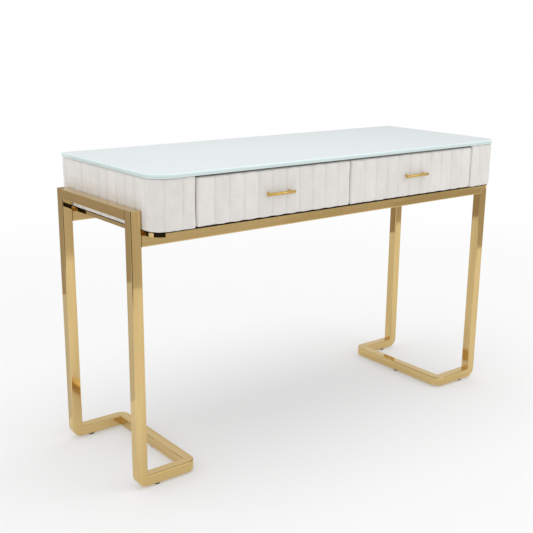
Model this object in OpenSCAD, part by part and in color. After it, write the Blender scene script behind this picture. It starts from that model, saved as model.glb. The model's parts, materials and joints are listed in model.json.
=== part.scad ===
// Two-drawer vanity and console table: a channel-padded case under a glass top,
// carried by two square-tube end frames with inward-turned feet.
// Millimetres, +Z up, the front faces -Y, the floor is Z = 0, X = 0 is the middle.

/* [Overall size] */

// Width over the outer faces of the two end frames
table_w = 1200; // [1000:10:1500]
// Height of the top face of the glass
table_h = 750; // [720:5:800]
// Depth of an end frame over its front and rear legs
frame_d = 364; // [320:1:420]
// How far the glass reaches in front of the front legs
front_overhang = 51; // [30:1:70]
// How far the glass reaches behind the rear legs
rear_overhang = 27; // [10:1:50]

/* [Steel frame] */

// Outside size of the square tube
tube = 27; // [20:1:32]
// Height of the side rails between the legs, which are as wide as the tube
side_rail_h = 24; // [20:1:32]
// Wall thickness of the tube
tube_wall = 1.5; // [1:0.1:2.5]
// Outside edge radius of the tube
tube_edge = 2.5; // [1.6:0.1:4]
// Distance from the leg tops down to the underside of the glass
leg_drop = 72; // [60:1:84]
// Length of a foot, from the outer face of the frame to the far face of its floor rail
foot_reach = 166; // [120:1:220]
// Height of the glides under the feet
glide_h = 5; // [3:0.5:10]
// Diameter of a glide
glide_d = 20; // [12:1:24]
// Distance from the outer face of the frame to a glide under a foot arm
glide_x = 56; // [45:1:90]

/* [Padded case] */

// Thickness of the glass top
glass_t = 10; // [6:0.5:12]
// How far the glass reaches past the padded case all round
glass_lip = 3; // [1:0.5:8]
// Radius of the two front corners of the glass
front_corner_r = 45; // [30:1:60]
// Radius of the two rear corners of the glass
rear_corner_r = 7; // [5:1:20]
// Height of the padded case from its lower edge to the underside of the glass
case_h = 117.5; // [110:0.5:130]
// Thickness of the padding and cloth on the case
pad_t = 8; // [5:0.5:12]
// Thickness of the boards of the case
board_t = 12; // [9:1:15]
// Thickness of the panels that carry the drawer runners
bay_panel_t = 16; // [12:1:18]
// Thickness of the base board under the case
base_t = 9; // [6:1:14]
// Height of the shadow gap between the base board and the padded case
base_gap = 1.5; // [1:0.5:5]
// Width of each fixed front corner, from the outer face of the case to the drawers
corner_w = 107.5; // [90:0.5:140]

/* [Drawers] */

// Gap between the two drawer fronts and beside them
front_gap = 3; // [2:0.5:5]
// Gap between the top of a drawer front and the glass
front_top_gap = 5; // [3:0.5:8]
// Height of the bottom of a drawer front above the lower edge of the case
front_bottom_gap = 1.5; // [0:0.5:4]
// Thickness of the padding and cloth on a drawer front
front_pad_t = 10; // [6:0.5:14]
// Height of a drawer box
box_h = 75; // [60:1:80]
// Depth of a drawer box
box_d = 360; // [320:1:370]
// Thickness of the drawer box sides
box_t = 12; // [9:1:15]
// Thickness of the drawer bottom
box_bottom_t = 5; // [3:0.5:8]

/* [Pulls] */

// Length of a pull bar
pull_bar_l = 82; // [70:1:160]
// Diameter of a pull bar
pull_bar_d = 8; // [6:0.5:10]
// Distance between the two posts of a pull
pull_post_pitch = 62; // [40:1:128]
// Diameter of a pull post
pull_post_d = 7; // [6.5:0.5:10]
// Distance from the drawer front to the front of the pull bar
pull_reach = 17; // [17:1:40]

/* [Runners] */

// Length of a drawer runner
runner_l = 350; // [300:5:360]
// Height of a drawer runner
runner_h = 35; // [30:1:45]
// Space between the drawer box and its bay on each side
runner_w = 12.7; // [12.5:0.1:14]

/* [Hidden] */

$fn = 64;

// Overshoot that keeps a cutting shape clear of the face it cuts
cut = 1;

// Places along Y. The whole table, pulls included, is centred on Y = 0.
pull_proud = pull_reach - glass_lip;
glass_side_gap = 0.5;
glass_w = table_w - 2 * (tube + glass_side_gap);
glass_d = frame_d + front_overhang + rear_overhang;
glass_y = (pull_proud - glass_d) / 2;
case_y = glass_y + glass_lip;
frame_y = glass_y + front_overhang;

// Heights
glass_z = table_h - glass_t;
leg_top = glass_z - leg_drop;
case_z = glass_z - case_h;
base_top = case_z - base_gap;
base_z = base_top - base_t;
cross_rail_z = base_z - tube;
foot_top = glide_h + tube;

// Glides: height of the wide shoulder, and how much narrower the tread below it is
shoulder_h = glide_h * 0.4;
tread_step = 2;

// Outlines of the case, its padding and its boards
case_w = glass_w - 2 * glass_lip;
case_d = glass_d - 2 * glass_lip;
case_front_r = front_corner_r - glass_lip;
case_rear_r = rear_corner_r - glass_lip;
least_rear_r = 1;
core_w = case_w - 2 * pad_t;
core_d = case_d - 2 * pad_t;
core_y = case_y + pad_t;
core_rear = core_y + core_d;
base_inset = 2;

// Inside of the case
back_y = core_rear - board_t;
corner_block_d = 45;
corner_block_rear = core_y + corner_block_d;
bay_edge = case_w / 2 - corner_w;
inner_w = core_w - 2 * board_t;
floor_top = base_top + board_t;
ceiling = glass_z - board_t;
divider_w = bay_panel_t;
bay_inner = divider_w / 2;
bay_outer = bay_edge - bay_panel_t;

// Drawer fronts
front_t = board_t;
front_x0 = front_gap / 2;
front_x1 = bay_edge - front_gap;
front_z = case_z + front_bottom_gap;
front_h = case_h - front_top_gap - front_bottom_gap;
front_board_y = case_y + front_pad_t;
front_back_y = front_board_y + front_t;
opening_gap = 2;
carcass_y = front_back_y + opening_gap;
pull_x = (front_x0 + front_x1) / 2;
pull_z = front_z + front_h / 2;

// Drawer box, for the right-hand drawer
box_x0 = bay_inner + runner_w;
box_x1 = bay_outer - runner_w;
box_z = floor_top + (ceiling - floor_top - box_h) / 2;
box_bottom_lift = 8;
box_bottom_z = box_z + box_bottom_lift;
box_inner_w = box_x1 - box_x0 - 2 * box_t;

// Runner members: wall, free height between them, place, and where each starts and
// ends across the gap between the bay and the drawer box
runner_wall = 1.2;
runner_play = 2;
runner_setback = 2;
runner_y = carcass_y + runner_setback;
runner_z = box_z + box_h / 2;
case_rail_end = 9.5;
mid_rail_start = 3;
mid_rail_end = 10.5;
box_rail_start = 5.7;
case_half_h = runner_h / 2;
mid_half_h = case_half_h - runner_wall - runner_play;
box_half_h = mid_half_h - runner_wall - runner_play;

// Screws
pull_screw_r = 2;
pull_hole_r = 2.25;
pull_screw_bite = 6;
pull_head_r = 4;
pull_head_h = 2.5;
base_screw_r = 2.5;
base_hole_r = 2.75;
base_head_r = 4.5;
base_head_h = 1.5;
base_screw_x = [-380, 0, 380];
base_skin = 2;
base_screw_bite = base_t - base_skin;

// Colours, one for each finish
gold = [0.80, 0.64, 0.38];
cloth = [0.90, 0.88, 0.85];
glass = [0.85, 0.94, 0.93];
board = [0.62, 0.50, 0.36];
dark = [0.12, 0.11, 0.10];
zinc = [0.70, 0.71, 0.72];

// ---------- flat shapes and placing ----------

// Tube section, square unless a height is given, shrunk by inset all round for the bore
module tube_section(inset = 0, height = tube) {
    r = tube_edge - inset;
    translate([inset, inset])
        rounded_rect(tube - 2 * inset, height - 2 * inset, r, r);
}

// Rectangle from the origin with its own radius at the front and rear corners
module rounded_rect(w, d, front_r, rear_r) {
    translate([0, front_r])
        square([w, d - front_r - rear_r]);
    translate([front_r, 0])
        square([w - 2 * front_r, d / 2]);
    translate([rear_r, d / 2])
        square([w - 2 * rear_r, d / 2]);
    for (x = [front_r, w - front_r])
        translate([x, front_r])
            circle(front_r);
    for (x = [rear_r, w - rear_r])
        translate([x, d - rear_r])
            circle(rear_r);
}

// Plan outline of the case, drawn in by inset
module case_outline(inset = 0) {
    rear_r = max(case_rear_r - inset, least_rear_r);
    translate([-case_w / 2 + inset, case_y + inset])
        rounded_rect(case_w - 2 * inset, case_d - 2 * inset, case_front_r - inset, rear_r);
}

// Box given by its two opposite corners
module box_between(low, high) {
    translate(low)
        cube(high - low);
}

// Left-hand shape, or its mirror image for the right-hand side
module on_side(right) {
    mirror([right ? 1 : 0, 0, 0])
        children();
}

// Puts a left front corner of the frame at any of the four corners
module at_frame_corner(right, rear) {
    on_side(right)
        translate([-table_w / 2, frame_y + (rear ? frame_d : 0), 0])
            mirror([0, rear ? 1 : 0, 0])
                children();
}

// Right-hand drawer shape, or its mirror image for the left-hand drawer
module at_drawer(right) {
    mirror([right ? 0 : 1, 0, 0])
        children();
}

// Stretches a tube section along X or along Y
module along_x(length) {
    rotate([90, 0, 90])
        linear_extrude(length)
            children();
}

module along_y(length) {
    translate([0, 0, tube])
        rotate([-90, 0, 0])
            linear_extrude(length)
                children();
}

// ---------- steel frame ----------

// Leg with the quarter turn at its foot: a sharp inner corner, a round outer one
module leg_shape(inset, top, past_end) {
    translate([0, 0, foot_top])
        linear_extrude(top - foot_top)
            tube_section(inset);
    translate([tube, tube, foot_top])
        rotate([-90, 0, 180])
            rotate_extrude(angle = 90)
                tube_section(inset);
    if (past_end > 0)
        translate([tube, 0, glide_h])
            along_x(past_end)
                tube_section(inset);
}

module leg() {
    color(gold)
        difference() {
            leg_shape(0, leg_top, 0);
            leg_shape(tube_wall, leg_top - tube_wall, cut);
        }
}

// Foot arm from the leg inwards, with its quarter turn towards the floor rail
module foot_arm_shape(inset, past_end) {
    straight = foot_reach - 2 * tube;
    translate([tube - past_end, 0, glide_h])
        along_x(straight + past_end)
            tube_section(inset);
    translate([foot_reach - tube, tube, glide_h])
        rotate([0, 0, -90])
            rotate_extrude(angle = 90)
                tube_section(inset);
    if (past_end > 0)
        translate([foot_reach - tube, tube, glide_h])
            along_y(past_end)
                tube_section(inset);
}

module foot_arm() {
    color(gold)
        difference() {
            foot_arm_shape(0, 0);
            foot_arm_shape(tube_wall, cut);
        }
}

// Open-ended tube along Y between the front and rear members of an end frame. Its top is
// one tube size above z, whatever its height.
module frame_tube_y(x, z, height) {
    length = frame_d - 2 * tube;
    translate([x, tube, z])
        color(gold)
            difference() {
                along_y(length)
                    tube_section(0, height);
                translate([0, -cut, 0])
                    along_y(length + 2 * cut)
                        tube_section(tube_wall, height);
            }
}

module floor_rail() {
    frame_tube_y(foot_reach - tube, glide_h, tube);
}

module side_rail() {
    frame_tube_y(0, leg_top - tube, side_rail_h);
}

// Tube along X that joins the two end frames, drilled for the base screws
module cross_rail(y) {
    length = table_w - 2 * tube;
    color(gold)
        difference() {
            translate([-length / 2, y, cross_rail_z])
                along_x(length)
                    tube_section();
            translate([-length / 2 - cut, y, cross_rail_z])
                along_x(length + 2 * cut)
                    tube_section(tube_wall);
            for (x = base_screw_x)
                translate([x, y + tube / 2, cross_rail_z - cut])
                    cylinder(h = tube + 2 * cut, r = base_hole_r);
        }
}

module front_cross_rail() {
    cross_rail(frame_y);
}

module rear_cross_rail() {
    cross_rail(frame_y + frame_d - tube);
}

// Black glide: a wide shoulder against the tube and a narrower tread on the floor
module glide() {
    tread_h = glide_h - shoulder_h;
    translate([0, 0, tread_h])
        cylinder(h = shoulder_h, d = glide_d);
    cylinder(h = tread_h, d = glide_d - tread_step);
}

module foot_glides() {
    color(dark)
        for (right = [false, true]) {
            for (rear = [false, true])
                at_frame_corner(right, rear)
                    translate([glide_x, tube / 2, 0])
                        glide();
            at_frame_corner(right, false)
                translate([foot_reach - tube / 2, frame_d / 2, 0])
                    glide();
        }
}

// Screws up through the cross rails into the base board
module base_screws() {
    color(zinc)
        for (x = base_screw_x, y = [frame_y + tube / 2, frame_y + frame_d - tube / 2])
            translate([x, y, cross_rail_z - base_head_h]) {
                cylinder(h = base_head_h, r = base_head_r);
                cylinder(h = base_head_h + tube + base_screw_bite, r = base_screw_r);
            }
}

// ---------- base and case ----------

module base_board() {
    color(dark)
        difference() {
            translate([0, 0, base_z])
                linear_extrude(base_t)
                    case_outline(base_inset + tube_wall);
            for (x = base_screw_x, y = [frame_y + tube / 2, frame_y + frame_d - tube / 2])
                translate([x, y, base_z - cut])
                    cylinder(h = base_screw_bite + cut, r = base_screw_r);
        }
}

// Thin polished band round the edge of the base board
module base_edge_band() {
    color(gold)
        translate([0, 0, base_z])
            linear_extrude(base_t)
                difference() {
                    case_outline(base_inset);
                    case_outline(base_inset + tube_wall);
                }
}

// Outline of the top and bottom boards: full width behind the corner blocks only
module shelf_outline() {
    translate([-inner_w / 2, corner_block_rear])
        square([inner_w, back_y - corner_block_rear]);
    translate([-bay_edge, carcass_y])
        square([2 * bay_edge, back_y - carcass_y]);
}

module case_bottom() {
    color(board)
        translate([0, 0, base_top])
            linear_extrude(board_t)
                shelf_outline();
}

module case_top() {
    color(board)
        translate([0, 0, ceiling])
            linear_extrude(board_t)
                shelf_outline();
}

module case_back() {
    color(board)
        box_between([-inner_w / 2, back_y, case_z], [inner_w / 2, core_rear, glass_z]);
}

module centre_divider() {
    color(board)
        box_between([-divider_w / 2, carcass_y, floor_top], [divider_w / 2, back_y, ceiling]);
}

module side_board() {
    color(board)
        box_between([-core_w / 2, corner_block_rear, case_z], [-inner_w / 2, core_rear, glass_z]);
}

// Solid block behind the rounded front corner
module corner_block() {
    color(board)
        translate([0, 0, case_z])
            linear_extrude(case_h)
                intersection() {
                    case_outline(pad_t);
                    translate([-case_w / 2, core_y])
                        square([corner_w, corner_block_d]);
                }
}

module bay_panel() {
    color(board)
        box_between([-bay_edge, carcass_y, floor_top], [-bay_outer, back_y, ceiling]);
}

// Padding round the front corner, the side and the rear corner of the case. The square
// cut keeps the inner rear corner sharp, so that the side board fits into it.
module padded_cover() {
    color(cloth)
        translate([0, 0, case_z])
            linear_extrude(case_h)
                intersection() {
                    difference() {
                        case_outline();
                        translate([-core_w / 2, core_y + case_front_r])
                            square([core_w, core_d - case_front_r]);
                        case_outline(pad_t);
                    }
                    union() {
                        translate([-case_w / 2, case_y])
                            square([corner_w, corner_block_d]);
                        translate([-case_w / 2, case_y])
                            square([pad_t, case_d]);
                    }
                }
}

module back_cover() {
    color(cloth)
        box_between([-core_w / 2, core_rear, case_z], [core_w / 2, core_rear + pad_t, glass_z]);
}

module glass_top() {
    color(glass)
        translate([-glass_w / 2, glass_y, glass_z])
            linear_extrude(glass_t)
                rounded_rect(glass_w, glass_d, front_corner_r, rear_corner_r);
}

// ---------- right-hand drawer ----------

// The two screw axes of a pull, running from y0 back to y1
module at_pull_screws(y0, y1, r) {
    for (x = [pull_x - pull_post_pitch / 2, pull_x + pull_post_pitch / 2])
        translate([x, y0, pull_z])
            rotate([-90, 0, 0])
                cylinder(h = y1 - y0, r = r);
}

module drawer_front() {
    color(board)
        difference() {
            box_between([front_x0, front_board_y, front_z],
                        [front_x1, front_back_y, front_z + front_h]);
            at_pull_screws(front_board_y - cut, front_back_y + cut, pull_hole_r);
        }
}

module drawer_front_pad() {
    color(cloth)
        difference() {
            box_between([front_x0, case_y, front_z],
                        [front_x1, front_board_y, front_z + front_h]);
            at_pull_screws(case_y - cut, front_board_y + cut, pull_hole_r);
        }
}

module drawer_box_front() {
    color(board)
        difference() {
            box_between([box_x0, front_back_y, box_z], [box_x1, front_back_y + box_t, box_z + box_h]);
            at_pull_screws(front_back_y - cut, front_back_y + box_t + cut, pull_hole_r);
        }
}

module drawer_box_sides() {
    color(board)
        for (x = [box_x0, box_x1 - box_t])
            translate([x, front_back_y + box_t, box_z])
                cube([box_t, box_d - box_t, box_h]);
}

module drawer_box_back() {
    color(board)
        translate([box_x0 + box_t, front_back_y + box_d - box_t, box_z])
            cube([box_inner_w, box_t, box_h]);
}

module drawer_bottom() {
    color(board)
        translate([box_x0 + box_t, front_back_y + box_t, box_bottom_z])
            cube([box_inner_w, box_d - 2 * box_t, box_bottom_t]);
}

module pull_bar() {
    color(gold)
        translate([pull_x - pull_bar_l / 2, case_y - pull_reach + pull_bar_d / 2, pull_z])
            rotate([0, 90, 0])
                cylinder(h = pull_bar_l, d = pull_bar_d);
}

// Posts end where they meet the bar, with a blind hole for the screw
module pull_posts() {
    bar_y = case_y - pull_reach + pull_bar_d / 2;
    color(gold)
        difference() {
            at_pull_screws(bar_y, case_y, pull_post_d / 2);
            translate([pull_x - pull_bar_l / 2, bar_y, pull_z])
                rotate([0, 90, 0])
                    cylinder(h = pull_bar_l, d = pull_bar_d);
            at_pull_screws(case_y - pull_screw_bite, case_y + cut, pull_screw_r);
        }
}

module pull_screws() {
    head_y = front_back_y + box_t;
    color(zinc) {
        at_pull_screws(case_y - pull_screw_bite, head_y, pull_screw_r);
        at_pull_screws(head_y, head_y + pull_head_h, pull_head_r);
    }
}

// ---------- telescopic runners of the right-hand drawer ----------

// Upright channel from x0 to x1, open towards +X, or towards -X when flipped
module channel(x0, x1, half_h, y, flipped) {
    web_x = flipped ? x1 - runner_wall : x0;
    box_between([web_x, y, runner_z - half_h],
                [web_x + runner_wall, y + runner_l, runner_z + half_h]);
    for (z = [-half_h, half_h - runner_wall])
        translate([x0, y, runner_z + z])
            cube([x1 - x0, runner_l, runner_wall]);
}

// Puts a member on the divider side and its mirror image on the bay panel side
module at_both_runners() {
    translate([bay_inner, 0, 0])
        children();
    translate([bay_outer, 0, 0])
        mirror([1, 0, 0])
            children();
}

module runner_case_rails() {
    color(zinc)
        at_both_runners()
            channel(0, case_rail_end, case_half_h, runner_y, false);
}

module runner_mid_rails() {
    color(zinc)
        at_both_runners()
            channel(mid_rail_start, mid_rail_end, mid_half_h, runner_y, false);
}

module runner_box_rails() {
    color(zinc)
        at_both_runners()
            channel(box_rail_start, runner_w, box_half_h, runner_y, true);
}

// ---------- nodes ----------

at_frame_corner(false, false) leg();  // left_front_leg
at_frame_corner(false, true) leg();  // left_rear_leg
at_frame_corner(false, false) foot_arm();  // left_front_foot_arm
at_frame_corner(false, true) foot_arm();  // left_rear_foot_arm
at_frame_corner(false, false) floor_rail();  // left_floor_rail
at_frame_corner(false, false) side_rail();  // left_side_rail
at_frame_corner(true, false) leg();  // right_front_leg
at_frame_corner(true, true) leg();  // right_rear_leg
at_frame_corner(true, false) foot_arm();  // right_front_foot_arm
at_frame_corner(true, true) foot_arm();  // right_rear_foot_arm
at_frame_corner(true, false) floor_rail();  // right_floor_rail
at_frame_corner(true, false) side_rail();  // right_side_rail
front_cross_rail();
rear_cross_rail();
foot_glides();
base_screws();
base_board();
base_edge_band();
case_bottom();
case_top();
case_back();
centre_divider();
on_side(false) side_board();  // left_side_board
on_side(true) side_board();  // right_side_board
on_side(false) corner_block();  // left_corner_block
on_side(true) corner_block();  // right_corner_block
on_side(false) bay_panel();  // left_bay_panel
on_side(true) bay_panel();  // right_bay_panel
on_side(false) padded_cover();  // left_padded_cover
on_side(true) padded_cover();  // right_padded_cover
back_cover();
glass_top();
at_drawer(false) drawer_front();  // left_drawer_front
at_drawer(false) drawer_front_pad();  // left_drawer_front_pad
at_drawer(false) drawer_box_front();  // left_drawer_box_front
at_drawer(false) drawer_box_sides();  // left_drawer_box_sides
at_drawer(false) drawer_box_back();  // left_drawer_box_back
at_drawer(false) drawer_bottom();  // left_drawer_bottom
at_drawer(false) pull_bar();  // left_pull_bar
at_drawer(false) pull_posts();  // left_pull_posts
at_drawer(false) pull_screws();  // left_pull_screws
at_drawer(false) runner_case_rails();  // left_runner_case_rails
at_drawer(false) runner_mid_rails();  // left_runner_mid_rails
at_drawer(false) runner_box_rails();  // left_runner_box_rails
at_drawer(true) drawer_front();  // right_drawer_front
at_drawer(true) drawer_front_pad();  // right_drawer_front_pad
at_drawer(true) drawer_box_front();  // right_drawer_box_front
at_drawer(true) drawer_box_sides();  // right_drawer_box_sides
at_drawer(true) drawer_box_back();  // right_drawer_box_back
at_drawer(true) drawer_bottom();  // right_drawer_bottom
at_drawer(true) pull_bar();  // right_pull_bar
at_drawer(true) pull_posts();  // right_pull_posts
at_drawer(true) pull_screws();  // right_pull_screws
at_drawer(true) runner_case_rails();  // right_runner_case_rails
at_drawer(true) runner_mid_rails();  // right_runner_mid_rails
at_drawer(true) runner_box_rails();  // right_runner_box_rails
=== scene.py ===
"""Looks for the two-drawer vanity table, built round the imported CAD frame.

Metres, +Z up, the front faces -Y, as in the CAD. The steel frame, boards, runners and
screws are the CAD's own nodes with new materials. The padding, the glass top and the
pulls are built here in mesh code and stand for their plain CAD solids.
"""

import json
import math

import bmesh
import bpy
import numpy as np
from mathutils import Matrix, Vector


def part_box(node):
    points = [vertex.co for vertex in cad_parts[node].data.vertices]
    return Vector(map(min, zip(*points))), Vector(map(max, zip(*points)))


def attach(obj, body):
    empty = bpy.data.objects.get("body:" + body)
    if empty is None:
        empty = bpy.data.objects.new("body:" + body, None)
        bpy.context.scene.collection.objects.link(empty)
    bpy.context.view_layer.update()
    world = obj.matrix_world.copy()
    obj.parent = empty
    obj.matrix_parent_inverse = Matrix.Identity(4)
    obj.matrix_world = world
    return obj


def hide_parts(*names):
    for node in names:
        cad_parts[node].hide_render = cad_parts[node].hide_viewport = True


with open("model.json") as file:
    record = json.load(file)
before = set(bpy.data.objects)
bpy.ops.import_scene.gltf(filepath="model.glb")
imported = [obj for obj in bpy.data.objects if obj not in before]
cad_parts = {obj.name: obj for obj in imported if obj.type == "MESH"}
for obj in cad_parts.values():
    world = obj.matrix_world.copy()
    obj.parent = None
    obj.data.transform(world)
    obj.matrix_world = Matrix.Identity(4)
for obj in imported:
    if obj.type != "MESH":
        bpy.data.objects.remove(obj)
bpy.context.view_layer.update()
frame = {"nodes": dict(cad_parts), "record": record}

MM = 0.001
SIDES = ("left", "right")


# ---------- camera, lights and floor ----------

CAMERA_PLACE = (-1.52318, -1.82503, 1.05433)
CAMERA_HEADING = -37.96
CAMERA_PITCH = -15.04
CAMERA_ROLL = 0.58
CAMERA_LENS = 60.17


def add_camera():
    """Camera at the front left, about 0.3 m above the glass top."""
    data = bpy.data.cameras.new("camera")
    data.lens = CAMERA_LENS
    data.clip_start = 0.05
    data.clip_end = 200
    camera = bpy.data.objects.new("camera", data)
    bpy.context.scene.collection.objects.link(camera)
    turn = Matrix.Rotation(math.radians(CAMERA_HEADING), 4, "Z")
    tilt = Matrix.Rotation(math.radians(90 + CAMERA_PITCH), 4, "X")
    roll = Matrix.Rotation(math.radians(CAMERA_ROLL), 4, "Z")
    camera.matrix_world = Matrix.Translation(CAMERA_PLACE) @ turn @ tilt @ roll
    bpy.context.scene.camera = camera


def add_softbox(name, place, aim, size, power):
    """Rectangular studio light at place, facing aim."""
    data = bpy.data.lights.new(name, "AREA")
    data.shape = "RECTANGLE"
    data.size, data.size_y = size
    data.energy = power
    light = bpy.data.objects.new(name, data)
    bpy.context.scene.collection.objects.link(light)
    light.location = place
    light.rotation_mode = "QUATERNION"
    light.rotation_quaternion = (Vector(aim) - Vector(place)).to_track_quat("-Z", "Y")
    light.visible_camera = False
    return light


def add_card(name, start, end, levels, colour):
    """Upright card between two places on the plan, seen only in polished surfaces."""
    mesh = bpy.data.meshes.new(name)
    low, high = levels
    corners = [(*start, low), (*end, low), (*end, high), (*start, high)]
    mesh.from_pydata(corners, [], [(0, 1, 2, 3)])
    material = bpy.data.materials.new(name)
    material.use_nodes = True
    tree = material.node_tree
    tree.nodes.clear()
    glow = add_node(tree, "ShaderNodeEmission", Color=(*colour, 1), Strength=1.0)
    output = add_node(tree, "ShaderNodeOutputMaterial")
    tree.links.new(glow.outputs[0], output.inputs["Surface"])
    mesh.materials.append(material)
    card = bpy.data.objects.new(name, mesh)
    bpy.context.scene.collection.objects.link(card)
    card.visible_camera = False
    card.visible_diffuse = False
    card.visible_shadow = False
    card.visible_transmission = False


def add_node(tree, kind, **values):
    """New shader node; values go to its properties, or to the inputs of that name."""
    node = tree.nodes.new(kind)
    for key, value in values.items():
        if hasattr(node, key):
            setattr(node, key, value)
        else:
            node.inputs[key.replace("_", " ")].default_value = value
    return node


def add_world():
    """White backdrop for the camera, and a soft grey-to-white dome for everything else."""
    world = bpy.data.worlds.new("studio")
    bpy.context.scene.world = world
    world.use_nodes = True
    tree = world.node_tree
    tree.nodes.clear()
    direction = add_node(tree, "ShaderNodeTexCoord")
    split = add_node(tree, "ShaderNodeSeparateXYZ")
    tree.links.new(direction.outputs["Generated"], split.inputs[0])
    ramp = add_node(tree, "ShaderNodeValToRGB")
    stops = ramp.color_ramp.elements
    stops[0].position, stops[0].color = 0.0, (0.62, 0.64, 0.66, 1)
    stops[1].position, stops[1].color = 0.45, (1.0, 1.0, 1.0, 1)
    tree.links.new(split.outputs["Z"], ramp.inputs["Fac"])
    dome = add_node(tree, "ShaderNodeBackground", Strength=0.88)
    tree.links.new(ramp.outputs["Color"], dome.inputs["Color"])
    backdrop = add_node(tree, "ShaderNodeBackground", Color=(1, 1, 1, 1), Strength=1.0)
    path = add_node(tree, "ShaderNodeLightPath")
    mix = add_node(tree, "ShaderNodeMixShader")
    tree.links.new(path.outputs["Is Camera Ray"], mix.inputs["Fac"])
    tree.links.new(dome.outputs[0], mix.inputs[1])
    tree.links.new(backdrop.outputs[0], mix.inputs[2])
    output = add_node(tree, "ShaderNodeOutputWorld")
    tree.links.new(mix.outputs[0], output.inputs["Surface"])


# The floor is 30% faded up to FADE_FROM of the span from this place, white from FADE_TO
FADE_CENTRE = (-0.25, -0.6, 0)
FADE_SPAN = 9.0
FADE_FROM = 0.1
FADE_TO = 0.39


def floor_material():
    """Pale matt floor that fades to white away from the table."""
    material = bpy.data.materials.new("studio_floor")
    material.use_nodes = True
    tree = material.node_tree
    tree.nodes.clear()
    place = add_node(tree, "ShaderNodeNewGeometry")
    centre = add_node(tree, "ShaderNodeVectorMath", operation="DISTANCE")
    centre.inputs[1].default_value = FADE_CENTRE
    tree.links.new(place.outputs["Position"], centre.inputs[0])
    fade = add_node(tree, "ShaderNodeValToRGB")
    stops = fade.color_ramp.elements
    stops[0].position, stops[0].color = FADE_FROM, (0.3, 0.3, 0.3, 1)
    stops[1].position, stops[1].color = FADE_TO, (1, 1, 1, 1)
    scale = add_node(tree, "ShaderNodeMath", operation="DIVIDE")
    scale.inputs[1].default_value = FADE_SPAN
    tree.links.new(centre.outputs["Value"], scale.inputs[0])
    tree.links.new(scale.outputs[0], fade.inputs["Fac"])
    matt = add_node(tree, "ShaderNodeBsdfDiffuse", Color=(0.865, 0.865, 0.865, 1))
    glow = add_node(tree, "ShaderNodeEmission", Color=(1, 1, 1, 1), Strength=1.0)
    mix = add_node(tree, "ShaderNodeMixShader")
    tree.links.new(fade.outputs["Color"], mix.inputs["Fac"])
    tree.links.new(matt.outputs[0], mix.inputs[1])
    tree.links.new(glow.outputs[0], mix.inputs[2])
    output = add_node(tree, "ShaderNodeOutputMaterial")
    tree.links.new(mix.outputs[0], output.inputs["Surface"])
    return material


def add_floor():
    """Large round floor at Z = 0."""
    mesh = bpy.data.meshes.new("studio_floor")
    shape = bmesh.new()
    bmesh.ops.create_circle(shape, cap_ends=True, segments=96, radius=60)
    shape.to_mesh(mesh)
    shape.free()
    floor = bpy.data.objects.new("studio_floor", mesh)
    bpy.context.scene.collection.objects.link(floor)
    mesh.materials.append(floor_material())


# ---------- materials ----------

def principled(name, colour, roughness, **values):
    """New material with a Principled shader, its tree and its shader node."""
    material = bpy.data.materials.new(name)
    material.use_nodes = True
    tree = material.node_tree
    shader = tree.nodes["Principled BSDF"]
    shader.inputs["Base Color"].default_value = (*colour, 1)
    shader.inputs["Roughness"].default_value = roughness
    for key, value in values.items():
        shader.inputs[key.replace("_", " ")].default_value = value
    return material, tree, shader


def object_place(tree, stretch=(1, 1, 1)):
    """Position on the object in metres, scaled by stretch, as a socket."""
    coordinates = add_node(tree, "ShaderNodeTexCoord")
    mapping = add_node(tree, "ShaderNodeMapping")
    mapping.inputs["Scale"].default_value = stretch
    tree.links.new(coordinates.outputs["Object"], mapping.inputs["Vector"])
    return mapping.outputs["Vector"]


def noise(tree, place, scale, detail=2.0, rough=0.5):
    """Noise of so many cells per metre, from 0 to 1, as a socket."""
    texture = add_node(tree, "ShaderNodeTexNoise", Scale=scale, Detail=detail, Roughness=rough)
    tree.links.new(place, texture.inputs["Vector"])
    return texture.outputs["Fac"]


def spread(tree, value, low, high):
    """Stretches a 0 to 1 socket so that its usual middle range runs from low to high."""
    span = add_node(tree, "ShaderNodeMapRange")
    span.inputs["From Min"].default_value = 0.3
    span.inputs["From Max"].default_value = 0.7
    span.inputs["To Min"].default_value = low
    span.inputs["To Max"].default_value = high
    tree.links.new(value, span.inputs["Value"])
    return span.outputs["Result"]


def tint(tree, shader, factor, first, second):
    """Base colour that runs from first to second with a 0 to 1 socket."""
    mix = add_node(tree, "ShaderNodeMix", data_type="RGBA")
    mix.inputs["A"].default_value = (*first, 1)
    mix.inputs["B"].default_value = (*second, 1)
    tree.links.new(factor, mix.inputs["Factor"])
    tree.links.new(mix.outputs["Result"], shader.inputs["Base Color"])
    return mix.outputs["Result"]


def bump(tree, shader, height, strength, distance):
    """Bump of so many metres from a 0 to 1 socket, on top of any earlier bump."""
    node = add_node(tree, "ShaderNodeBump", Strength=strength, Distance=distance)
    tree.links.new(height, node.inputs["Height"])
    socket = shader.inputs["Normal"]
    if socket.links:
        tree.links.new(socket.links[0].from_socket, node.inputs["Normal"])
    tree.links.new(node.outputs["Normal"], socket)


def gold_steel(name, colour, roughness, polish=(1, 1, 1)):
    """Champagne-gold plated steel, polished, with faint waviness and finger smears.

    polish stretches the polishing streaks: a small value draws them out along that axis.
    """
    paler = tuple(min(c * k, 1) for c, k in zip(colour, (1.04, 1.045, 1.06)))
    deeper = tuple(c * k for c, k in zip(colour, (0.92, 0.90, 0.84)))
    material, tree, shader = principled(name, colour, roughness, Metallic=1.0)
    place = object_place(tree)
    streaks = noise(tree, object_place(tree, polish), 110, 3)
    tint(tree, shader, spread(tree, streaks, 0, 1), paler, deeper)
    smears = spread(tree, noise(tree, place, 28, 4, 0.6), roughness * 0.7, roughness * 1.6)
    tree.links.new(smears, shader.inputs["Roughness"])
    bump(tree, shader, noise(tree, place, 22, 1), 0.3, 0.3 * MM)
    bump(tree, shader, streaks, 0.12, 0.1 * MM)
    return material


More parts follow.
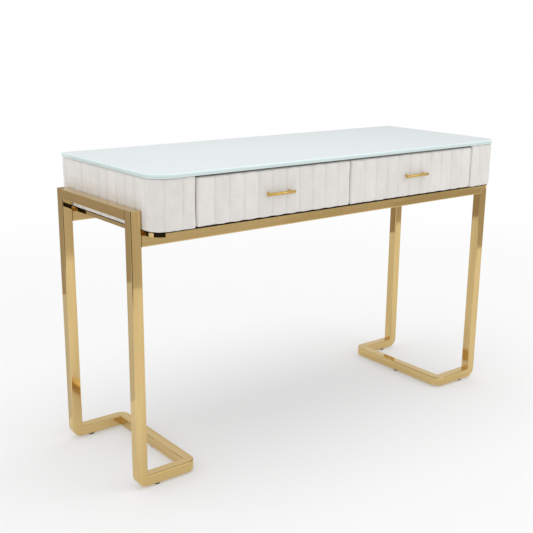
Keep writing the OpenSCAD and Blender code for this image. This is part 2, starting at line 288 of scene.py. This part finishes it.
def ivory_cloth():
    """Short-pile ivory upholstery: brushed patches, fine pile, darker seams."""
    material, tree, shader = principled(
        "ivory_cloth", (0.78, 0.75, 0.715), 0.85,
        Sheen_Weight=0.25, Sheen_Roughness=0.45, Specular_IOR_Level=0.2)
    place = object_place(tree)
    streaks = object_place(tree, (1, 1, 0.35))
    patches = noise(tree, streaks, 42, 3, 0.6)
    brushed = tint(tree, shader, spread(tree, patches, 0, 1),
                   (0.815, 0.785, 0.75), (0.745, 0.715, 0.68))
    seam = add_node(tree, "ShaderNodeAttribute", attribute_name="seam")
    valley = add_node(tree, "ShaderNodeMix", data_type="RGBA", blend_type="MULTIPLY")
    valley.inputs["B"].default_value = (0.94, 0.93, 0.915, 1)
    tree.links.new(seam.outputs["Fac"], valley.inputs["Factor"])
    tree.links.new(brushed, valley.inputs["A"])
    tone = add_node(tree, "ShaderNodeAttribute", attribute_name="tone")
    channel = add_node(tree, "ShaderNodeMix", data_type="RGBA", blend_type="MULTIPLY")
    channel.inputs["B"].default_value = (0.955, 0.958, 0.96, 1)
    tree.links.new(tone.outputs["Fac"], channel.inputs["Factor"])
    tree.links.new(valley.outputs["Result"], channel.inputs["A"])
    tree.links.new(channel.outputs["Result"], shader.inputs["Base Color"])
    bump(tree, shader, noise(tree, place, 260, 3, 0.6), 0.25, 0.5 * MM)
    bump(tree, shader, noise(tree, place, 2600, 2, 0.7), 0.35, 0.18 * MM)
    return material


def glass_face():
    """Back-painted white glass seen from above: a milky layer under a polished face."""
    material, tree, shader = principled(
        "white_glass", (0.81, 0.875, 0.88), 0.06,
        Coat_Weight=0.6, Coat_Roughness=0.03, IOR=1.5)
    place = object_place(tree)
    tint(tree, shader, spread(tree, noise(tree, place, 5, 2), 0, 1),
         (0.81, 0.875, 0.88), (0.80, 0.868, 0.875))
    smears = spread(tree, noise(tree, place, 18, 4, 0.65), 0.04, 0.10)
    tree.links.new(smears, shader.inputs["Roughness"])
    bump(tree, shader, noise(tree, place, 3, 1), 0.05, 0.4 * MM)
    return material


def glass_edge():
    """Polished glass edge: pale aqua, deeper towards the middle of the thickness."""
    low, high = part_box("glass_top")
    material, tree, shader = principled(
        "glass_edge", (0.66, 0.80, 0.79), 0.08, Coat_Weight=0.5, IOR=1.5)
    coordinates = add_node(tree, "ShaderNodeTexCoord")
    split = add_node(tree, "ShaderNodeSeparateXYZ")
    tree.links.new(coordinates.outputs["Object"], split.inputs[0])
    level = add_node(tree, "ShaderNodeMapRange")
    level.inputs["From Min"].default_value = low.z
    level.inputs["From Max"].default_value = high.z
    tree.links.new(split.outputs["Z"], level.inputs["Value"])
    ramp = add_node(tree, "ShaderNodeValToRGB")
    stops = ramp.color_ramp.elements
    stops[0].position, stops[0].color = 0.0, (0.72, 0.80, 0.79, 1)
    stops[1].position, stops[1].color = 1.0, (0.76, 0.88, 0.875, 1)
    middle = stops.new(0.45)
    middle.color = (0.60, 0.73, 0.72, 1)
    tree.links.new(level.outputs["Result"], ramp.inputs["Fac"])
    tree.links.new(ramp.outputs["Color"], shader.inputs["Base Color"])
    bump(tree, shader, noise(tree, object_place(tree), 60, 1), 0.05, 0.1 * MM)
    return material


def fibreboard():
    """Raw fibreboard: tan, with pale and dark fibres pressed flat."""
    material, tree, shader = principled("fibreboard", (0.50, 0.38, 0.25), 0.8)
    place = object_place(tree)
    fibres = noise(tree, object_place(tree, (1, 0.35, 1)), 900, 4, 0.7)
    tint(tree, shader, spread(tree, fibres, 0, 1), (0.55, 0.43, 0.29), (0.43, 0.32, 0.20))
    bump(tree, shader, noise(tree, place, 1200, 3), 0.3, 0.15 * MM)
    return material


def laminated_board():
    """Pale linen-textured laminate of the drawer boxes."""
    material, tree, shader = principled("laminated_board", (0.70, 0.67, 0.62), 0.5)
    threads = noise(tree, object_place(tree, (1, 0.12, 1)), 700, 2)
    tint(tree, shader, spread(tree, threads, 0, 1), (0.73, 0.70, 0.65), (0.66, 0.63, 0.58))
    cross = noise(tree, object_place(tree, (0.12, 1, 1)), 700, 2)
    bump(tree, shader, threads, 0.15, 0.08 * MM)
    bump(tree, shader, cross, 0.15, 0.08 * MM)
    return material


def black_paint():
    """Black satin paint with roller texture."""
    material, tree, shader = principled("black_paint", (0.022, 0.020, 0.018), 0.4)
    place = object_place(tree)
    tint(tree, shader, spread(tree, noise(tree, place, 60, 3), 0, 1),
         (0.026, 0.023, 0.020), (0.016, 0.015, 0.014))
    bump(tree, shader, noise(tree, place, 700, 2), 0.3, 0.1 * MM)
    return material


def zinc_steel():
    """Zinc-plated steel with a cool spangle."""
    material, tree, shader = principled("zinc_steel", (0.62, 0.63, 0.65), 0.32, Metallic=1.0)
    place = object_place(tree)
    spangle = noise(tree, place, 160, 3, 0.6)
    tint(tree, shader, spread(tree, spangle, 0, 1), (0.68, 0.69, 0.70), (0.54, 0.55, 0.58))
    tree.links.new(spread(tree, spangle, 0.25, 0.42), shader.inputs["Roughness"])
    bump(tree, shader, noise(tree, object_place(tree, (1, 0.05, 1)), 900, 2), 0.1, 0.05 * MM)
    return material


def black_plastic():
    """Moulded matt black plastic of the foot glides."""
    material, tree, shader = principled("black_plastic", (0.018, 0.018, 0.018), 0.55)
    place = object_place(tree)
    tint(tree, shader, spread(tree, noise(tree, place, 300, 2), 0, 1),
         (0.022, 0.022, 0.022), (0.013, 0.013, 0.014))
    bump(tree, shader, noise(tree, place, 2200, 2), 0.25, 0.06 * MM)
    return material


# ---------- CAD nodes that stay ----------

FRAME_GOLD = (0.71, 0.52, 0.24)
PULL_GOLD = (0.64, 0.44, 0.14)
FRAME_ROUGHNESS = 0.06
PULL_ROUGHNESS = 0.22

# How much the polishing streaks shrink along each tube, which draws them out
ALONG = 0.03
TUBE_POLISH = {
    "leg": (1, 1, ALONG),
    "side_rail": (1, ALONG, 1),
    "floor_rail": (1, ALONG, 1),
    "cross_rail": (ALONG, 1, 1),
    "foot_arm": (ALONG, 1, 1),
}


def paint_cad_nodes(finishes):
    """Gives every CAD node the finish of its record slot, and tubes streaks along them."""
    tube_finishes = {part: gold_steel(f"gold_{part}", FRAME_GOLD, FRAME_ROUGHNESS, polish)
                     for part, polish in TUBE_POLISH.items()}
    for row in frame["record"]["subparts"]:
        finish = finishes[row["material_slot"]]
        for part, streaked in tube_finishes.items():
            if row["node"].endswith(part):
                finish = streaked
        mesh = frame["nodes"][row["node"]].data
        mesh.materials.clear()
        mesh.materials.append(finish)


BOARD_EASE = 0.7 * MM


def ease_board_edges():
    """Takes the sharp edges off the boards of the drawer boxes."""
    for side in SIDES:
        for part in ("box_front", "box_sides", "box_back"):
            board = frame["nodes"][f"{side}_drawer_{part}"]
            eased = board.modifiers.new("eased_edges", "BEVEL")
            eased.width = BOARD_EASE
            eased.segments = 2
            eased.limit_method = "ANGLE"
            eased.angle_limit = math.radians(40)


# ---------- padding ----------

# Seams, in mm: from the drawer gap round the corner, and from a drawer's left edge
COVER_SEAMS = [34, 80, 126, 168, 210, 252, 294, 336, 378, 420, 462, 504]
DRAWER_SEAMS = [47.5 + 41 * k for k in range(10)]
BACK_CHANNEL = 41.6

# Shape of a channel: how deep its seams lie, and how far it stands out between them
COVER_SEAM_DEPTH = 1.0 * MM
DRAWER_SEAM_DEPTH = 1.8 * MM
CROWN = 1.2 * MM
SEAM_HALF_CHANNEL = 20.5 * MM
SEAM_SHARPNESS = 3.2
STITCH_DEPTH = 0.5 * MM
STITCH_WIDTH = 1.3 * MM
DARK_WIDTH = 2.0 * MM

# Rolled edges of the pads, the thickness of the covers, and their front corner
COVER_EDGE = 4.2 * MM
DRAWER_EDGE = 4.5 * MM
COVER_THICKNESS = 8 * MM
CORNER_RADIUS = 42 * MM

# Spacing of the grid over a pad
GRID_PITCH = 5 * MM
CLOSEST_ALONG = 0.4 * MM
CLOSEST_ACROSS = 0.3 * MM

# How far the simulated cloth may move, and for how many frames it runs
PUFF_REACH = 1.2 * MM
PUFF_FRAMES = 20

# Points turned this far from the face, or this close to a seam, are held
HELD_TURN = 0.35
HELD_WIDTH = 1.0 * MM

draws = np.random.default_rng(7)


def spaced(start, end, pitch):
    """Values from start to end, both included, about pitch apart."""
    steps = max(1, round((end - start) / pitch))
    return list(np.linspace(start, end, steps + 1))


def merged(values, closest):
    """Sorted values without any that come closer than closest to the one before."""
    kept = []
    for value in sorted(values):
        if not kept or value - kept[-1] > closest:
            kept.append(value)
    return kept


def box_shell(lines):
    """Vertices and quads over the six faces of a box with grid lines on its three axes."""
    index = {}
    points = []

    def corner(key):
        if key not in index:
            index[key] = len(points)
            points.append([lines[axis][key[axis]] for axis in range(3)])
        return index[key]

    faces = []
    for axis in range(3):
        across, along = [a for a in range(3) if a != axis]
        for end in (0, len(lines[axis]) - 1):
            for i in range(len(lines[across]) - 1):
                for j in range(len(lines[along]) - 1):
                    quad = []
                    for di, dj in ((0, 0), (1, 0), (1, 1), (0, 1)):
                        key = [0, 0, 0]
                        key[axis] = end
                        key[across] = i + di
                        key[along] = j + dj
                        quad.append(corner(tuple(key)))
                    faces.append(quad)
    return np.array(points), faces


def trace(start, heading, runs, distances):
    """Points and outward directions at distances along a line on the floor plan.

    runs holds (length, radius): radius 0 is straight, and any other turns right. Outward
    is to the left of the way the line goes.
    """
    points = np.zeros((len(distances), 2))
    outward = np.zeros((len(distances), 2))
    for row, distance in enumerate(distances):
        place = np.array(start, float)
        angle = math.radians(heading)
        left = distance
        for length, radius in runs:
            step = min(left, length)
            if radius:
                side = np.array([math.sin(angle), -math.cos(angle)]) * radius
                centre = place + side
                angle -= step / radius
                place = centre - np.array([math.sin(angle), -math.cos(angle)]) * radius
            else:
                place = place + step * np.array([math.cos(angle), math.sin(angle)])
            left -= step
            if left <= 1e-9:
                break
        points[row] = place
        outward[row] = (-math.sin(angle), math.cos(angle))
    return points, outward


def channel_lines(seams, length, edge):
    """Grid lines along a pad: close together at the ends and beside every seam."""
    beside = (0, 0.8 * MM, 2.4 * MM, 5.5 * MM)
    stops = [0, *seams, length]
    lines = [0, 0.3 * edge, 0.7 * edge, edge, length - edge, length - 0.7 * edge,
             length - 0.3 * edge, length]
    for first, last in zip(stops, stops[1:]):
        low = first + (beside[-1] if first > 0 else edge)
        high = last - (beside[-1] if last < length else edge)
        lines += spaced(low, high, GRID_PITCH)
        if first > 0:
            lines += [first + step for step in beside]
        if last < length:
            lines += [last - step for step in beside[1:]]
    return merged(lines, CLOSEST_ALONG)


def end_lines(total, edge):
    """Grid lines from 0 to total, close together inside the rounded edges."""
    rounded = [0, 0.3 * edge, 0.7 * edge]
    return merged([*rounded, *spaced(edge, total - edge, GRID_PITCH),
                   *[total - value for value in rounded]], CLOSEST_ACROSS)


def seam_shape(distance, seams):
    """How deep the cloth lies at each distance, from 0 mid-channel to 1 in a seam."""
    nearest = np.min(np.abs(distance[:, None] - np.array(seams)[None, :]), axis=1)
    across = np.clip(nearest / SEAM_HALF_CHANNEL, 0, 1)
    return (1 - across) ** SEAM_SHARPNESS, nearest


def pad_mesh(name, line, levels, thickness, seams, edge, seam_depth):
    """Closed channel-sewn pad along a line, flat at the back, rolled at every edge.

    Returns the object and which of its points are held while the cloth is puffed.
    """
    length = sum(run[0] for run in line["runs"])
    height = levels[1] - levels[0]
    lines = (channel_lines(seams, length, edge), end_lines(height, edge),
             [0, (thickness - edge) / 2, thickness - edge, thickness - 0.6 * edge,
              thickness - 0.3 * edge, thickness])
    points, faces = box_shell(lines)
    low = np.array([edge, edge, -1])
    high = np.array([length - edge, height - edge, thickness - edge])
    inner = np.clip(points, low, high)
    reach = np.linalg.norm(points - inner, axis=1)
    rolled = reach > 1e-9
    normal = np.where(rolled[:, None], (points - inner) / np.maximum(reach, 1e-9)[:, None], 0)
    rounding = np.max(np.abs(points - inner), axis=1)
    shaped = inner + normal * rounding[:, None]

    depth, nearest = seam_shape(points[:, 0], seams)
    wrap = (0.5 + 0.5 * normal[:, 2]) * np.clip(points[:, 2] / thickness, 0, 1)
    wrap *= rolled * (1 - np.abs(normal[:, 0]))
    crown = CROWN * rolled * np.clip(points[:, 2] / thickness, 0, 1)
    stitch = np.exp(-((nearest / STITCH_WIDTH) ** 2))
    sunk = (seam_depth * depth + STITCH_DEPTH * stitch) * wrap
    shaped[:, 2] += crown * (0.5 + 0.5 * normal[:, 2])
    shaped -= normal * sunk[:, None]

    places, outward = trace(line["start"], line["heading"], line["runs"],
                            np.clip(shaped[:, 0], 0, length))
    flat = places - outward * (thickness - shaped[:, 2])[:, None]
    world = np.column_stack([flat, levels[0] + shaped[:, 1]])

    mesh = bpy.data.meshes.new(name)
    mesh.from_pydata(world.tolist(), [], faces)
    build = bmesh.new()
    build.from_mesh(mesh)
    bmesh.ops.recalc_face_normals(build, faces=build.faces)
    build.to_mesh(mesh)
    build.free()
    mesh.shade_smooth()
    pad = bpy.data.objects.new(name, mesh)
    bpy.context.scene.collection.objects.link(pad)

    dark = np.exp(-((nearest / DARK_WIDTH) ** 2)) * np.clip(wrap, 0, 1)
    tones = draws.uniform(0, 1, len(seams) + 1)
    tone = tones[np.searchsorted(seams, points[:, 0])]
    for key, values in (("seam", dark), ("tone", tone)):
        attribute = mesh.attributes.new(key, "FLOAT", "POINT")
        attribute.data.foreach_set("value", values.astype(np.float32))
    held = (normal[:, 2] < HELD_TURN) | (nearest < HELD_WIDTH)
    return pad, held


def positions(mesh):
    """Vertex places of a mesh as an array."""
    places = np.zeros(len(mesh.vertices) * 3, np.float32)
    mesh.vertices.foreach_get("co", places)
    return places.reshape(-1, 3).astype(float)


def puff(pad, held):
    """Cloth simulation: the cover swells a little between its seams, and puckers there."""
    rest = positions(pad.data)
    group = pad.vertex_groups.new(name="held")
    group.add(np.nonzero(held)[0].tolist(), 1.0, "REPLACE")
    modifier = pad.modifiers.new("cloth", "CLOTH")
    cloth = modifier.settings
    cloth.quality = 5
    cloth.mass = 0.3
    cloth.tension_stiffness = 15
    cloth.compression_stiffness = 15
    cloth.shear_stiffness = 5
    cloth.bending_stiffness = 0.5
    cloth.use_pressure = True
    cloth.uniform_pressure_force = 4
    cloth.shrink_min = -0.015
    cloth.vertex_group_mass = "held"
    cloth.effector_weights.gravity = 0
    modifier.collision_settings.use_collision = False
    modifier.point_cache.frame_start = 1
    modifier.point_cache.frame_end = PUFF_FRAMES
    scene = bpy.context.scene
    for number in range(1, PUFF_FRAMES + 1):
        scene.frame_set(number)
    made = pad.evaluated_get(bpy.context.evaluated_depsgraph_get())
    moved = positions(made.data) - rest
    pad.modifiers.remove(modifier)
    pad.vertex_groups.remove(group)
    scene.frame_set(1)
    far = np.linalg.norm(moved, axis=1)
    limit = PUFF_REACH * np.tanh(far / PUFF_REACH) / np.maximum(far, 1e-9)
    pad.data.vertices.foreach_set("co", (rest + moved * limit[:, None]).ravel())
    pad.data.update()


def mirrored(pad):
    """Turns a left-hand pad into its right-hand mirror image."""
    mesh = pad.data
    places = positions(mesh)
    places[:, 0] *= -1
    mesh.vertices.foreach_set("co", places.ravel())
    mesh.flip_normals()
    mesh.update()


def add_padding(cloth):
    """Padded covers of the case and the two drawer fronts."""
    for side, sign in (("left", -1), ("right", 1)):
        low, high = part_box(f"{side}_padded_cover")
        front_edge = min(abs(low.x), abs(high.x))
        case_half = max(abs(low.x), abs(high.x))
        radius = CORNER_RADIUS
        straight = case_half - radius - front_edge
        line = {"start": (-front_edge, low.y), "heading": 180,
                "runs": [(straight, 0), (radius * math.pi / 2, radius),
                         (high.y - low.y - radius + CROWN, 0)]}
        seams = [value * MM for value in COVER_SEAMS]
        name = f"{side}_channel_cover"
        pad, held = pad_mesh(name, line, (low.z, high.z), COVER_THICKNESS, seams,
                             COVER_EDGE, COVER_SEAM_DEPTH)
        if sign > 0:
            mirrored(pad)
        finish_pad(pad, held, "table", f"{side}_padded_cover", cloth)
        low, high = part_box(f"{side}_drawer_front_pad")
        line = {"start": (high.x, low.y), "heading": 180, "runs": [(high.x - low.x, 0)]}
        seams = sorted((high.x - low.x) - value * MM for value in DRAWER_SEAMS)
        pad, held = pad_mesh(f"{side}_drawer_channels", line, (low.z, high.z),
                             high.y - low.y, seams, DRAWER_EDGE, DRAWER_SEAM_DEPTH)
        finish_pad(pad, held, f"{side}_drawer", f"{side}_drawer_front_pad", cloth)
    low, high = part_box("back_cover")
    line = {"start": (low.x, high.y), "heading": 0, "runs": [(high.x - low.x, 0)]}
    count = round((high.x - low.x) / (BACK_CHANNEL * MM))
    pitch = (high.x - low.x) / count
    seams = [pitch * k for k in range(1, count)]
    pad, held = pad_mesh("back_channels", line, (low.z, high.z), high.y - low.y, seams,
                         COVER_EDGE, COVER_SEAM_DEPTH)
    finish_pad(pad, held, "table", "back_cover", cloth)


def finish_pad(pad, held, body, node, cloth):
    """Puffs a pad, then rides it on its body in the place of its CAD node."""
    puff(pad, held)
    smooth = pad.modifiers.new("smooth", "SUBSURF")
    smooth.levels = 1
    smooth.render_levels = 1
    pad.data.materials.append(cloth)
    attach(pad, body)
    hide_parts(node)


# ---------- glass top ----------

GLASS_FRONT_RADIUS = 45 * MM
GLASS_REAR_RADIUS = 7 * MM


def rounded_outline(low, high, front_r, rear_r, inset, steps=14):
    """Points round a rectangle with its own radius at the front and rear corners."""
    corners = ((high.x, low.y, front_r, -90), (high.x, high.y, rear_r, 0),
               (low.x, high.y, rear_r, 90), (low.x, low.y, front_r, 180))
    points = []
    for x, y, radius, first in corners:
        centre_x = x - math.copysign(radius, x)
        centre_y = y - radius if y == high.y else y + radius
        for step in range(steps + 1):
            angle = math.radians(first + 90 * step / steps)
            reach = radius - inset
            points.append((centre_x + reach * math.cos(angle),
                           centre_y + reach * math.sin(angle)))
    return points


def add_glass(face, edge):
    """Glass top with polished arrises: a clear aqua edge round a milky white face."""
    low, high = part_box("glass_top")
    thick = high.z - low.z
    # each ring is how far in from the outline, and how high up the glass, both in mm
    rings = ((1.0, 0.0), (0.3, 0.25), (0.0, 0.9), (0.0, 0.5 * thick / MM),
             (0.0, thick / MM - 1.3), (0.35, thick / MM - 0.45), (1.2, thick / MM))
    build = bmesh.new()
    loops = []
    for inset, level in rings:
        outline = rounded_outline(low, high, GLASS_FRONT_RADIUS, GLASS_REAR_RADIUS,
                                  inset * MM)
        loops.append([build.verts.new((x, y, low.z + level * MM)) for x, y in outline])
    for lower, upper in zip(loops, loops[1:]):
        for k in range(len(lower)):
            follow = (k + 1) % len(lower)
            wall = build.faces.new((lower[k], lower[follow], upper[follow], upper[k]))
            wall.material_index = 1
            wall.smooth = True
    build.faces.new(reversed(loops[0])).material_index = 0
    build.faces.new(loops[-1]).material_index = 0
    mesh = bpy.data.meshes.new("glass_slab")
    build.to_mesh(mesh)
    build.free()
    mesh.materials.append(face)
    mesh.materials.append(edge)
    slab = bpy.data.objects.new("glass_slab", mesh)
    bpy.context.scene.collection.objects.link(slab)
    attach(slab, "table")
    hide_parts("glass_top")


# ---------- pulls ----------

# Eased end of a bar, in mm: how far along it, and how much is taken off its radius
BAR_EASE = ((0.0, 0.9), (0.25, 0.4), (0.9, 0.0))

# Collar at the foot of a post: how far it stands out, and its bevel
COLLAR_RISE = 0.9 * MM
COLLAR_BEVEL = 0.3 * MM

# The post's collar starts, widens and is full at these distances before the padding
COLLAR_START = 2.2 * MM
COLLAR_WIDENED = 1.8 * MM
COLLAR_FULL = 1.5 * MM

# How far a post goes into the padding
POST_SUNK = 3 * MM


def lathe(build, origin, axis, profile, steps=40):
    """Turns a profile of (distance along, radius) about an axis from origin."""
    along = Vector(axis).normalized()
    side = along.orthogonal().normalized()
    other = along.cross(side)
    rings = []
    for distance, radius in profile:
        centre = Vector(origin) + along * distance
        rings.append([build.verts.new(centre + radius * (side * math.cos(turn)
                                                         + other * math.sin(turn)))
                      for turn in (2 * math.pi * k / steps for k in range(steps))])
    for ring, following in zip(rings, rings[1:]):
        for k in range(steps):
            after = (k + 1) % steps
            build.faces.new((ring[k], ring[after], following[after], following[k])).smooth = True
    build.faces.new(reversed(rings[0]))
    build.faces.new(rings[-1])


def lathe_piece(name, turnings, body, node, material):
    """Piece of one or more turned shapes, standing for a CAD node."""
    build = bmesh.new()
    for origin, axis, profile in turnings:
        lathe(build, origin, axis, profile)
    bmesh.ops.recalc_face_normals(build, faces=build.faces)
    mesh = bpy.data.meshes.new(name)
    build.to_mesh(mesh)
    build.free()
    mesh.materials.append(material)
    piece = bpy.data.objects.new(name, mesh)
    bpy.context.scene.collection.objects.link(piece)
    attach(piece, body)
    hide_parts(node)


def add_pulls(metal):
    """Turned pull bars with eased ends, each on two posts with a small foot collar."""
    for side in SIDES:
        low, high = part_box(f"{side}_pull_bar")
        radius = (high.z - low.z) / 2
        long = high.x - low.x
        middle = (low + high) / 2
        profile = [(at * MM, radius - cut * MM) for at, cut in BAR_EASE]
        profile += [(long - at * MM, radius - cut * MM) for at, cut in reversed(BAR_EASE)]
        bar_start = (low.x, middle.y, middle.z)
        lathe_piece(f"{side}_bar", [(bar_start, (1, 0, 0), profile)],
                    f"{side}_drawer", f"{side}_pull_bar", metal)
        low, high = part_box(f"{side}_pull_posts")
        post_r = (high.z - low.z) / 2
        reach = high.y - middle.y
        collar = post_r + COLLAR_RISE
        profile = [(0, post_r), (reach - COLLAR_START, post_r),
                   (reach - COLLAR_WIDENED, collar - COLLAR_BEVEL),
                   (reach - COLLAR_FULL, collar), (reach + POST_SUNK, collar)]
        posts = [((x, middle.y, middle.z), (0, 1, 0), profile)
                 for x in (low.x + post_r, high.x - post_r)]
        lathe_piece(f"{side}_posts", posts, f"{side}_drawer", f"{side}_pull_posts",
                    metal)


# ---------- putting it together ----------

# Cards round the table: name, start and end on the plan, lower and upper edge, colour
STUDIO_CARDS = (
    ("card_left_low", (-2.6, 0.30), (-0.62, 0.30), (0.002, 0.36), (0.70, 0.71, 0.74)),
    ("card_left_high", (-2.6, 0.30), (-0.62, 0.30), (0.36, 1.0), (0.45, 0.41, 0.37)),
    ("card_rear_low", (-0.60, 0.32), (0.60, 0.32), (0.002, 0.36), (0.78, 0.78, 0.78)),
    ("card_rear_high", (-0.60, 0.32), (0.60, 0.32), (0.36, 0.70), (0.40, 0.34, 0.28)),
    ("card_front_left", (-0.6, -1.79), (0.9, -1.48), (0.002, 0.34), (0.64, 0.61, 0.58)),
    ("card_front_middle", (0.9, -1.48), (1.45, -1.36), (0.002, 0.34), (0.58, 0.54, 0.50)),
    ("card_front_right", (1.45, -1.36), (3.0, -1.04), (0.002, 0.34), (0.50, 0.46, 0.41)),
    ("card_viewer", (-2.2, -0.5), (-0.45, -2.3), (0.002, 0.45), (0.02, 0.02, 0.02)),
)

add_camera()
add_world()
add_floor()
overhead = add_softbox("overhead", (0.0, -0.2, 2.6), (0, 0, 0.5), (2.6, 1.6), 20)
overhead.visible_glossy = False
add_softbox("front_right", (1.6, -2.6, 1.5), (0, 0, 0.5), (1.6, 1.6), 8)
add_softbox("left", (-2.8, 0.3, 1.5), (-0.6, 0, 0.5), (1.4, 1.4), 5)
for name, start, end, levels, colour in STUDIO_CARDS:
    add_card(name, start, end, levels, colour)
bpy.context.scene.view_settings.view_transform = "Standard"

cloth_finish = ivory_cloth()
glass_finish = glass_face()
paint_cad_nodes({
    "gold_steel": gold_steel("gold_steel", FRAME_GOLD, FRAME_ROUGHNESS),
    "ivory_cloth": cloth_finish,
    "case_board": fibreboard(),
    "drawer_board": laminated_board(),
    "dark_board": black_paint(),
    "zinc_steel": zinc_steel(),
    "black_plastic": black_plastic(),
    "white_glass": glass_finish,
})
ease_board_edges()
add_padding(cloth_finish)
add_glass(glass_finish, glass_edge())
add_pulls(gold_steel("pull_gold", PULL_GOLD, PULL_ROUGHNESS))
